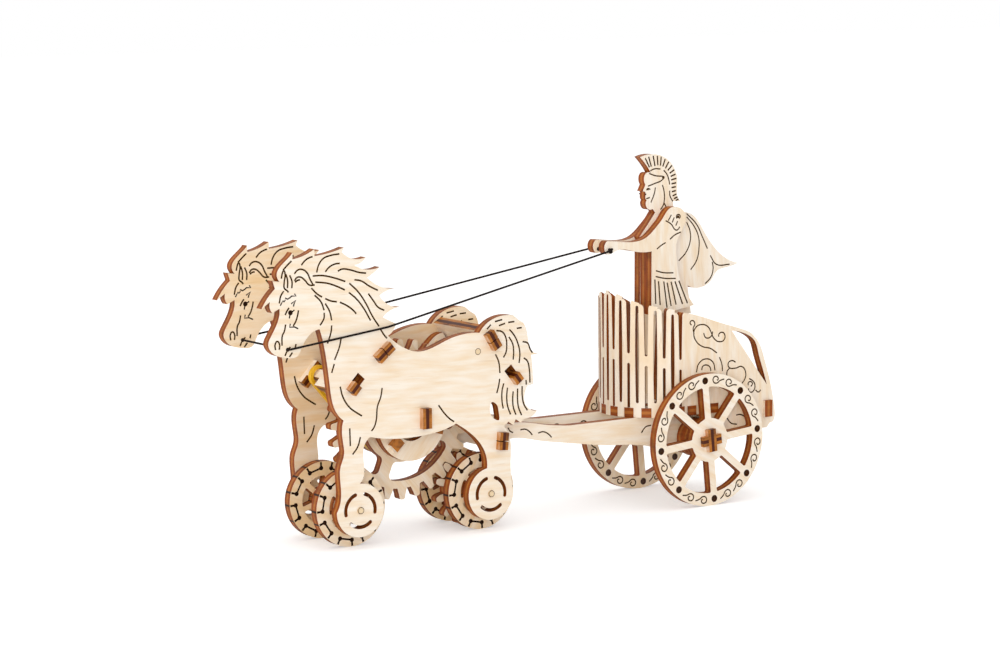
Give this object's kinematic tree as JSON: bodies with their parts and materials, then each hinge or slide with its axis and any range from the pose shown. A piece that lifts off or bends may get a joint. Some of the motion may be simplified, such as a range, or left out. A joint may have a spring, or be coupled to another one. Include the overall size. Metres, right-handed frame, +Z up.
{
  "type": "toy chariot",
  "caption": "Plywood kit model of a horse-drawn racing chariot with a rubber-band gear drive, slit-bent body, spoked wheels, helmeted driver and string reins.",
  "frame": {"origin": "on the floor under the middle of the model's bounding box", "axes": "+X forward, the way the horses run; +Y to the driver's left; +Z up"},
  "size_m": [0.1816, 0.0434, 0.1081],
  "materials": {
    "plywood": "matte",
    "stick": "matte",
    "rubber": "satin",
    "string": "matte"
  },
  "bodies": {
    "frame": {"horse_plate_left": "plywood", "horse_plate_right": "plywood", "withers_bar": "plywood", "chest_bar": "plywood", "belly_bar": "plywood", "rump_bar": "plywood", "tail_bar": "plywood", "hind_leg_bar": "plywood", "brake_lever": "plywood", "lever_pin": "stick", "rubber_band": "rubber", "reins": "string", "pole_plate_left": "plywood", "pole_plate_right": "plywood", "floor_plate": "plywood", "body_shell": "plywood", "rear_bar": "plywood", "driver_core": "plywood", "driver_side_left": "plywood", "driver_side_right": "plywood"},
    "front_axle": {"front_wheel_left": "plywood", "front_wheel_right": "plywood", "front_boss_left": "plywood", "front_boss_right": "plywood", "front_axle_pin": "stick"},
    "rear_axle": {"rear_wheel_left": "plywood", "rear_wheel_right": "plywood", "rear_boss_left": "plywood", "rear_boss_right": "plywood", "rear_axle_pin": "stick", "pinion": "plywood"},
    "drive": {"drive_gear": "plywood", "spool_flange_near": "plywood", "spool_flange_far": "plywood", "spool_rod_1": "plywood", "spool_rod_2": "plywood", "spool_rod_3": "plywood"},
    "chariot_axle": {"chariot_wheel_left": "plywood", "chariot_wheel_right": "plywood", "hub_disc_outer_left": "plywood", "hub_disc_inner_left": "plywood", "hub_disc_inner_right": "plywood", "hub_disc_outer_right": "plywood", "axle_strip_flat": "plywood", "axle_strip_upright": "plywood"}
  },
  "joints": [
    {"name": "drive_spin", "type": "hinge", "parent": "frame", "child": "drive", "pos_m": [0.03765, 0, 0.0341], "axis": [0, 1, 0], "continuous": true},
    {"name": "rear_axle_spin", "type": "hinge", "parent": "frame", "child": "rear_axle", "pos_m": [0.01505, 0, 0.01145], "axis": [0, 1, 0], "continuous": true},
    {"name": "front_axle_spin", "type": "hinge", "parent": "frame", "child": "front_axle", "pos_m": [0.05985, 0, 0.01145], "axis": [0, 1, 0], "continuous": true},
    {"name": "chariot_axle_spin", "type": "hinge", "parent": "frame", "child": "chariot_axle", "pos_m": [-0.06195, 0, 0.0206], "axis": [0, 1, 0], "continuous": true}
  ],
  "couplings": [
    {"joint": "rear_axle_spin", "follows": "drive_spin", "ratio": -2.3333}
  ]
}
